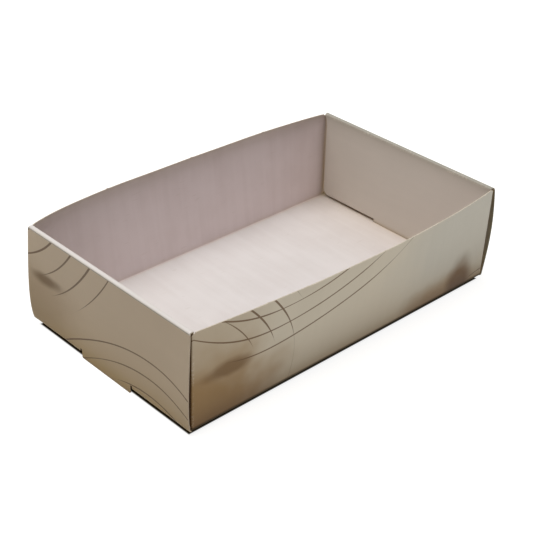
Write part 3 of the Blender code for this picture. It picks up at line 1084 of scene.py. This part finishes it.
# Darker just under the walls' rims, and painted shade towards their ends, where they meet the end
# plies.
below_rim = fading(tree, maths(tree, "SUBTRACT", WALL_RISE, parts["Y"]), RIM_FADE, on_wall)
wall_end_shade = fading(tree, maths(tree, "SUBTRACT", WALL_END, across), END_FADE, on_wall)
colour = tinted(tree, maths(tree, "MAXIMUM", below_rim, wall_end_shade), colour, RIM_TINT)
# Painted shade, warm, on the floor towards both ends.
floor_shade_by_ends = fading(tree, maths(tree, "SUBTRACT", HALF_LENGTH, along), FLOOR_FADE, on_floor)
colour = tinted(tree, floor_shade_by_ends, colour, FLOOR_SHADE_TINT)
worn = placed(tree, wearing, {"Place": blank, "Distance": wear_distance})["Wear"]
colour = mixed(tree, product(tree, worn, BARE_WORN), colour, CORE)
# Painted shade along the sides of the outer plies' bare faces, which show in the gaps behind the
# walls' ends.
margin_shade = ramp(tree, across, MARGIN_FROM, MARGIN_FULL)
margin_shade = product(tree, margin_shade, of_kind(tree, parts, END_KIND))
# Painted shade in corners and pockets, laid over the colour.
finish_face(
    tree, shader, shaded(tree, tinted(tree, margin_shade, colour, MARGIN_SHADE_TINT), BARE_POCKET_SHADE),
    card["Height"], rough=0.78, by_grain=0.1, specular=0.12, strength=0.4, distance=0.05 * MM,
)

# %% [markdown]
# ## The cut edge
#
# The cut edge is the core of the board, cream and ragged, with the layers of fibre that were
# pressed together running along it. On the outer plies and the right rim it gets painted shade as
# well: tan at the left end, and much darker at the right one.

# %% Material: cut edge
LAYER_DARK, LAYER_PALE, EDGE_SPECK = (0.48, 0.41, 0.31), (0.78, 0.71, 0.61), (0.42, 0.32, 0.2)
# Colours and amounts of the painted shade on the cut edges of the outer plies and the right rim.
TAN_EDGE_SHADE, DARK_EDGE_SHADE, LEFT_EDGE_SHADE, RIGHT_EDGE_SHADE_MORE = (0.30, 0.17, 0.06), (0.075, 0.06, 0.025), 0.37, 0.53
MIDDLE_ZONE, EDGE_SHADE_REACH, EDGE_SPECKED = 100 * MM, 0.6, 0.3

card_cut, tree, shader, blank, parts, _ = new_material("card_cut_edge")
card = placed(tree, fibres, {"Place": blank, "Grain size": 1500.0})
in_space = add(tree, "TexCoord").outputs["Object"]
layer = noise(tree, vector_maths(tree, "MULTIPLY", in_space, (1.0, 1.0, 9.0)), 900.0, 2.0)
colour = mixed(tree, layer, LAYER_DARK, LAYER_PALE)
along = add(tree, "SeparateXYZ", {0: blank}).outputs["X"]
# Painted shade on the cut edges of the outer plies and the right rim, more of it at the right end.
on_right = ramp(tree, along, -MIDDLE_ZONE, MIDDLE_ZONE)
edge_shade = maths(tree, "MULTIPLY_ADD", on_right, RIGHT_EDGE_SHADE_MORE, LEFT_EDGE_SHADE)
edge_shade = product(tree, of_kind(tree, parts, END_KIND, EDGE_SHADE_REACH), edge_shade)
colour = mixed(tree, edge_shade, colour, mixed(tree, on_right, TAN_EDGE_SHADE, DARK_EDGE_SHADE))
colour = mixed(tree, product(tree, card["Speck"], EDGE_SPECKED), colour, EDGE_SPECK)
# Painted shade in corners and pockets.
finish_face(
    tree, shader, shaded(tree, colour),
    card["Height"], rough=0.85, by_grain=0.1, specular=0.08, strength=0.6, distance=0.08 * MM,
)

# %% Put the three materials on every sheet
for sheet in sheets:
    for material in (card_printed, card_bare, card_cut):
        sheet.data.materials.append(material)
print("materials:", card_printed.name, card_bare.name, card_cut.name)

# %% [markdown]
# ## Table, light and camera
#
# A pale studio: the table and the background are white to the camera, but to the card they are
# only a mid grey, so that they throw little light up at its walls. One wide soft lamp hangs above,
# a little behind and to the left. A low strip stands far in front, which lights the outside of
# the tray but passes over its inside. The base stays on its spot in every pose, so the strip of
# table under its edge, where no light gets in, is simply made dark by its place.

# %% Table
TABLE_HALF, TABLE_LINES = 3.0, 5
DARK_FROM, DARK_TO, END_STRIP = 1.9 * MM, 2.9 * MM, 1.0 * MM
TABLE_DARK, TABLE_GREY, GLOW = (0.085, 0.060, 0.022), (0.34, 0.325, 0.30), 0.87
table_mesh = bpy.data.meshes.new("table")
u, v = np.meshgrid(*[np.linspace(-TABLE_HALF, TABLE_HALF, TABLE_LINES)] * 2, indexing="ij")
grid = np.arange(TABLE_LINES**2).reshape(u.shape)
cells = np.stack([grid[:-1, :-1], grid[1:, :-1], grid[1:, 1:], grid[:-1, 1:]], -1).reshape(-1, 4)
table_mesh.from_pydata(np.stack([u, v, 0 * u], -1).reshape(-1, 3).tolist(), [], cells.tolist())
table = bpy.data.objects.new("table", table_mesh)
bpy.context.scene.collection.objects.link(table)


def seen_directly(tree):
    """1 for what the camera sees by itself or in a gloss or through glass, and 0 for soft light."""
    path = add(tree, "LightPath").outputs
    glossy = maths(tree, "MAXIMUM", path["Is Glossy Ray"], path["Is Transmission Ray"])
    return maths(tree, "MAXIMUM", path["Is Camera Ray"], glossy)


table_white = bpy.data.materials.new("table_white")
table_white.use_nodes = True
tree = table_white.node_tree
tree.nodes.remove(tree.nodes["Principled BSDF"])
on_table = add(tree, "SeparateXYZ", {0: add(tree, "TexCoord").outputs["Object"]}).outputs
past_x, past_y = (
    maths(tree, "SUBTRACT", maths(tree, "ABSOLUTE", on_table[axis]), limit)
    for axis, limit in (("X", HALF_LENGTH + END_STRIP), ("Y", HALF_WIDTH))
)
open_air = ramp(tree, maths(tree, "MAXIMUM", past_x, past_y), -DARK_TO, -DARK_FROM)
glow = add(tree, "Emission", {"Strength": product(tree, seen_directly(tree), open_air, GLOW)})
matt = add(tree, "BsdfDiffuse", {"Color": mixed(tree, open_air, TABLE_DARK, TABLE_GREY)})
total = add(tree, "AddShader", {0: glow.outputs[0], 1: matt.outputs[0]})
tree.links.new(total.outputs[0], tree.nodes["Material Output"].inputs["Surface"])
table_mesh.materials.append(table_white)

# %% Background
AMBIENT = 0.24
world = bpy.data.worlds.new("studio")
bpy.context.scene.world = world
world.use_nodes = True
tree = world.node_tree
strength = maths(tree, "MULTIPLY_ADD", seen_directly(tree), 1 - AMBIENT, AMBIENT)
tree.links.new(strength, tree.nodes["Background"].inputs["Strength"])
tree.nodes["Background"].inputs["Color"].default_value = (1, 1, 1, 1)


# %% Lamps
def soft_lamp(name, place, size, power):
    """A flat lamp, so wide and so high, that looks at the tray."""
    data = bpy.data.lights.new(name, "AREA")
    data.shape, data.energy = "RECTANGLE", power
    data.size, data.size_y = size
    lamp = bpy.data.objects.new(name, data)
    bpy.context.scene.collection.objects.link(lamp)
    lamp.location = place
    lamp.rotation_mode = "QUATERNION"
    lamp.rotation_quaternion = (-Vector(place)).to_track_quat("-Z", "Y")
    return lamp


lamps = [
    soft_lamp("ceiling_lamp", (-0.28, 0.22, 1.4), (1.1, 1.1), 18.0),
    soft_lamp("low_front_lamp", (0.30, -1.6, 0.06), (0.7, 0.10), 8.5),
]
print("lamps:", [(lamp.name, lamp.data.energy) for lamp in lamps])

# %% Camera
CAMERA_PLACE = Vector((-0.45234, -0.46612, 0.42322))
CAMERA_AIM = Vector((-0.00077, 0.00026, 0.0244))
CAMERA_ROLL = radians(2.0217)
CAMERA_LENS, SENSOR = 85.71, 36
data = bpy.data.cameras.new("camera")
data.lens, data.sensor_width = CAMERA_LENS, SENSOR
camera = bpy.data.objects.new("camera", data)
bpy.context.scene.collection.objects.link(camera)
camera.location = CAMERA_PLACE
camera.rotation_mode = "QUATERNION"
gaze = CAMERA_AIM - CAMERA_PLACE
upright = gaze.to_track_quat("-Z", "Y")
camera.rotation_quaternion = Quaternion(gaze.normalized(), -CAMERA_ROLL) @ upright
data.clip_start, data.clip_end = 0.05, 20
bpy.context.scene.camera = camera
bpy.context.scene.view_settings.view_transform = "Standard"
